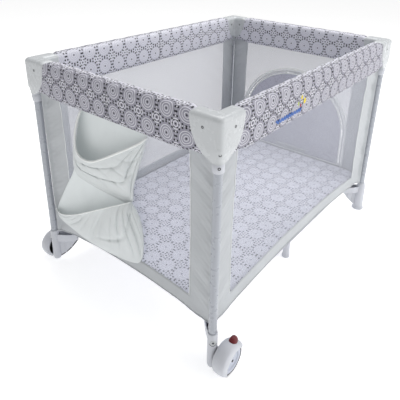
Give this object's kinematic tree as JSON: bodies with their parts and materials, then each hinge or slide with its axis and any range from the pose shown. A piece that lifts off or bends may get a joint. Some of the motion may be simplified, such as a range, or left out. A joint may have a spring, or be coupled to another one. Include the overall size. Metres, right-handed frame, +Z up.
{
  "type": "folding playpen",
  "caption": "Rectangular folding playpen with padded top rails, mesh sides, arched zip door, hanging toy bag, quilted floor mattress and casters at one end.",
  "frame": {"origin": "centre of the footprint's bounding box, on the floor", "axes": "+X along the long sides, away from the caster end; +Y to the rear long side; +Z up"},
  "size_m": [1.1515, 0.835, 0.76],
  "materials": {
    "white_plastic": "satin",
    "grey_plastic": "satin",
    "dark_plastic": "matt",
    "painted_tube": "satin paint",
    "print_fabric": "woven polyester with a small dotted ring print",
    "mesh_fabric": "fine net and plain woven polyester",
    "bag_fabric": "thin plain woven polyester",
    "rubber": "matt",
    "red_plastic": "gloss"
  },
  "bodies": {
    "corner_front_left": {"leg_tube_front_left": "painted_tube", "corner_cover_front_left": "white_plastic", "foot_front_left": "grey_plastic", "caster_hood_front_left": "grey_plastic", "wall_front": "mesh_fabric", "wall_left": "mesh_fabric", "toy_bag_upper": "bag_fabric", "toy_bag_lower": "bag_fabric"},
    "corner_front_right": {"leg_tube_front_right": "painted_tube", "corner_cover_front_right": "white_plastic", "foot_front_right": "grey_plastic", "wall_right": "mesh_fabric"},
    "corner_rear_left": {"leg_tube_rear_left": "painted_tube", "corner_cover_rear_left": "white_plastic", "foot_rear_left": "grey_plastic", "caster_hood_rear_left": "grey_plastic", "wall_rear": "mesh_fabric"},
    "corner_rear_right": {"leg_tube_rear_right": "painted_tube", "corner_cover_rear_right": "white_plastic", "foot_rear_right": "grey_plastic"},
    "wheel_front_left": {"caster_wheel_front_left": "grey_plastic", "caster_tyre_front_left": "rubber"},
    "wheel_rear_left": {"caster_wheel_rear_left": "grey_plastic", "caster_tyre_rear_left": "rubber"},
    "brake_front_left": {"brake_lever_front_left": "red_plastic"},
    "brake_rear_left": {"brake_lever_rear_left": "red_plastic"},
    "door": {"door_flap": "print_fabric"},
    "hub": {"base_hub": "dark_plastic", "floor_cloth": "mesh_fabric"},
    "mattress_pad": {"mattress": "print_fabric"},
    "support_front": {"mid_support_front": "grey_plastic"},
    "support_rear": {"mid_support_rear": "grey_plastic"},
    "rail_front_left": {"rail_tube_front_left": "painted_tube", "sleeve_front_left": "print_fabric"},
    "rail_front_right": {"rail_tube_front_right": "painted_tube", "sleeve_front_right": "print_fabric"},
    "latch_front_body": {"latch_front": "white_plastic"},
    "button_front": {"latch_button_front": "dark_plastic"},
    "rail_rear_left": {"rail_tube_rear_left": "painted_tube", "sleeve_rear_left": "print_fabric"},
    "rail_rear_right": {"rail_tube_rear_right": "painted_tube", "sleeve_rear_right": "print_fabric"},
    "latch_rear_body": {"latch_rear": "white_plastic"},
    "button_rear": {"latch_button_rear": "dark_plastic"},
    "rail_left_front": {"rail_tube_left_front": "painted_tube", "sleeve_left_front": "print_fabric"},
    "rail_left_rear": {"rail_tube_left_rear": "painted_tube", "sleeve_left_rear": "print_fabric"},
    "latch_left_body": {"latch_left": "white_plastic"},
    "button_left": {"latch_button_left": "dark_plastic"},
    "rail_right_front": {"rail_tube_right_front": "painted_tube", "sleeve_right_front": "print_fabric"},
    "rail_right_rear": {"rail_tube_right_rear": "painted_tube", "sleeve_right_rear": "print_fabric"},
    "latch_right_body": {"latch_right": "white_plastic"},
    "button_right": {"latch_button_right": "dark_plastic"},
    "base_front_left": {"base_tube_front_left": "painted_tube"},
    "base_front_right": {"base_tube_front_right": "painted_tube"},
    "base_rear_left": {"base_tube_rear_left": "painted_tube"},
    "base_rear_right": {"base_tube_rear_right": "painted_tube"}
  },
  "joints": [
    {"name": "fold", "type": "hinge", "parent": "corner_front_left", "child": "rail_front_left", "pos_m": [-0.46, -0.36, 0.705], "axis": [0, 1, 0], "range_deg": [0, 80], "deforming": ["sleeve_front_left", "sleeve_front_right", "sleeve_rear_left", "sleeve_rear_right", "sleeve_left_front", "sleeve_left_rear", "sleeve_right_front", "sleeve_right_rear", "wall_front", "wall_rear", "wall_left", "wall_right", "door_flap", "floor_cloth", "mattress", "toy_bag_upper", "toy_bag_lower"]},
    {"name": "front_latch_near", "type": "hinge", "parent": "rail_front_left", "child": "latch_front_body", "pos_m": [-0.01, -0.36, 0.705], "axis": [0, 1, 0], "range_deg": [-80, 0]},
    {"name": "front_latch_far", "type": "hinge", "parent": "latch_front_body", "child": "rail_front_right", "pos_m": [0.06, -0.36, 0.705], "axis": [0, 1, 0], "range_deg": [-80, 0]},
    {"name": "front_rail_corner_far", "type": "hinge", "parent": "rail_front_right", "child": "corner_front_right", "pos_m": [0.51, -0.36, 0.705], "axis": [0, 1, 0], "range_deg": [0, 80]},
    {"name": "left_rail_corner_near", "type": "hinge", "parent": "corner_front_left", "child": "rail_left_front", "pos_m": [-0.505, -0.315, 0.705], "axis": [-1, 0, 0], "range_deg": [0, 80]},
    {"name": "left_latch_near", "type": "hinge", "parent": "rail_left_front", "child": "latch_left_body", "pos_m": [-0.505, -0.035, 0.705], "axis": [-1, 0, 0], "range_deg": [-80, 0]},
    {"name": "left_latch_far", "type": "hinge", "parent": "latch_left_body", "child": "rail_left_rear", "pos_m": [-0.505, 0.035, 0.705], "axis": [-1, 0, 0], "range_deg": [-80, 0]},
    {"name": "left_rail_corner_far", "type": "hinge", "parent": "rail_left_rear", "child": "corner_rear_left", "pos_m": [-0.505, 0.315, 0.705], "axis": [-1, 0, 0], "range_deg": [0, 80]},
    {"name": "rear_rail_corner_near", "type": "hinge", "parent": "corner_rear_left", "child": "rail_rear_left", "pos_m": [-0.46, 0.36, 0.705], "axis": [0, 1, 0], "range_deg": [0, 80]},
    {"name": "rear_latch_near", "type": "hinge", "parent": "rail_rear_left", "child": "latch_rear_body", "pos_m": [-0.01, 0.36, 0.705], "axis": [0, 1, 0], "range_deg": [-80, 0]},
    {"name": "rear_latch_far", "type": "hinge", "parent": "latch_rear_body", "child": "rail_rear_right", "pos_m": [0.06, 0.36, 0.705], "axis": [0, 1, 0], "range_deg": [-80, 0]},
    {"name": "rear_rail_corner_far", "type": "hinge", "parent": "rail_rear_right", "child": "corner_rear_right", "pos_m": [0.51, 0.36, 0.705], "axis": [0, 1, 0], "range_deg": [0, 80]},
    {"name": "right_rail_corner_near", "type": "hinge", "parent": "corner_front_right", "child": "rail_right_front", "pos_m": [0.555, -0.315, 0.705], "axis": [-1, 0, 0], "range_deg": [0, 80]},
    {"name": "right_latch_near", "type": "hinge", "parent": "rail_right_front", "child": "latch_right_body", "pos_m": [0.555, -0.035, 0.705], "axis": [-1, 0, 0], "range_deg": [-80, 0]},
    {"name": "right_latch_far", "type": "hinge", "parent": "latch_right_body", "child": "rail_right_rear", "pos_m": [0.555, 0.035, 0.705], "axis": [-1, 0, 0], "range_deg": [-80, 0]},
    {"name": "base_foot_pivot", "type": "hinge", "parent": "corner_front_left", "child": "base_front_left", "pos_m": [-0.46, -0.315, 0.095], "axis": [0.5283, -0.8491, 0], "range_deg": [0, 80]},
    {"name": "base_hub_pivot_front_left", "type": "hinge", "parent": "base_front_left", "child": "hub", "pos_m": [-0.01, -0.035, 0.095], "axis": [0.5283, -0.8491, 0], "range_deg": [-80, 0]},
    {"name": "base_hub_pivot_front_right", "type": "hinge", "parent": "hub", "child": "base_front_right", "pos_m": [0.06, -0.035, 0.095], "axis": [0.5283, 0.8491, 0], "range_deg": [0, 80]},
    {"name": "base_hub_pivot_rear_left", "type": "hinge", "parent": "hub", "child": "base_rear_left", "pos_m": [-0.01, 0.035, 0.095], "axis": [-0.5283, -0.8491, 0], "range_deg": [0, 80]},
    {"name": "base_hub_pivot_rear_right", "type": "hinge", "parent": "hub", "child": "base_rear_right", "pos_m": [0.06, 0.035, 0.095], "axis": [-0.5283, 0.8491, 0], "range_deg": [0, 80]},
    {"name": "support_pivot_front", "type": "hinge", "parent": "hub", "child": "support_front", "pos_m": [0.025, -0.042, 0.095], "axis": [1, 0, 0], "range_deg": [0, 80]},
    {"name": "support_pivot_rear", "type": "hinge", "parent": "hub", "child": "support_rear", "pos_m": [0.025, 0.042, 0.095], "axis": [-1, 0, 0], "range_deg": [0, 80]},
    {"name": "mattress_lift", "type": "slide", "parent": "hub", "child": "mattress_pad", "axis": [0, 0, 1], "range_m": [0, 0.116]},
    {"name": "wheel_spin_front_left", "type": "hinge", "parent": "corner_front_left", "child": "wheel_front_left", "pos_m": [-0.485, -0.401, 0.044], "axis": [0, 1, 0], "continuous": true},
    {"name": "brake_front_left", "type": "hinge", "parent": "corner_front_left", "child": "brake_front_left", "pos_m": [-0.4635, -0.4, 0.1045], "axis": [0, -1, 0], "range_deg": [0, 15]},
    {"name": "wheel_spin_rear_left", "type": "hinge", "parent": "corner_rear_left", "child": "wheel_rear_left", "pos_m": [-0.485, 0.401, 0.044], "axis": [0, 1, 0], "continuous": true},
    {"name": "brake_rear_left", "type": "hinge", "parent": "corner_rear_left", "child": "brake_rear_left", "pos_m": [-0.4635, 0.4, 0.1045], "axis": [0, -1, 0], "range_deg": [0, 15]},
    {"name": "door_drop", "type": "hinge", "parent": "corner_front_right", "child": "door", "pos_m": [0.54075, 0, 0.182], "axis": [0, 1, 0], "range_deg": [0, 110]},
    {"name": "latch_release_front", "type": "slide", "parent": "latch_front_body", "child": "button_front", "axis": [0, 0, 1], "range_m": [0, 0.003], "stiffness_N_per_m": 200},
    {"name": "latch_release_rear", "type": "slide", "parent": "latch_rear_body", "child": "button_rear", "axis": [0, 0, 1], "range_m": [0, 0.003], "stiffness_N_per_m": 200},
    {"name": "latch_release_left", "type": "slide", "parent": "latch_left_body", "child": "button_left", "axis": [0, 0, 1], "range_m": [0, 0.003], "stiffness_N_per_m": 200},
    {"name": "latch_release_right", "type": "slide", "parent": "latch_right_body", "child": "button_right", "axis": [0, 0, 1], "range_m": [0, 0.003], "stiffness_N_per_m": 200}
  ],
  "couplings": [
    {"joint": "front_latch_near", "follows": "fold", "ratio": -1},
    {"joint": "front_latch_far", "follows": "fold", "ratio": -1},
    {"joint": "front_rail_corner_far", "follows": "fold", "ratio": 1},
    {"joint": "left_rail_corner_near", "follows": "fold", "ratio": 1},
    {"joint": "left_latch_near", "follows": "fold", "ratio": -1},
    {"joint": "left_latch_far", "follows": "fold", "ratio": -1},
    {"joint": "left_rail_corner_far", "follows": "fold", "ratio": 1},
    {"joint": "rear_rail_corner_near", "follows": "fold", "ratio": 1},
    {"joint": "rear_latch_near", "follows": "fold", "ratio": -1},
    {"joint": "rear_latch_far", "follows": "fold", "ratio": -1},
    {"joint": "rear_rail_corner_far", "follows": "fold", "ratio": 1},
    {"joint": "right_rail_corner_near", "follows": "fold", "ratio": 1},
    {"joint": "right_latch_near", "follows": "fold", "ratio": -1},
    {"joint": "right_latch_far", "follows": "fold", "ratio": -1},
    {"joint": "base_foot_pivot", "follows": "fold", "ratio": 1},
    {"joint": "base_hub_pivot_front_left", "follows": "fold", "ratio": -1},
    {"joint": "base_hub_pivot_front_right", "follows": "fold", "ratio": 1},
    {"joint": "base_hub_pivot_rear_left", "follows": "fold", "ratio": 1},
    {"joint": "base_hub_pivot_rear_right", "follows": "fold", "ratio": 1},
    {"joint": "support_pivot_front", "follows": "fold", "ratio": 1},
    {"joint": "support_pivot_rear", "follows": "fold", "ratio": 1},
    {"joint": "mattress_lift", "follows": "fold", "m_per_rad": 0.08236}
  ]
}
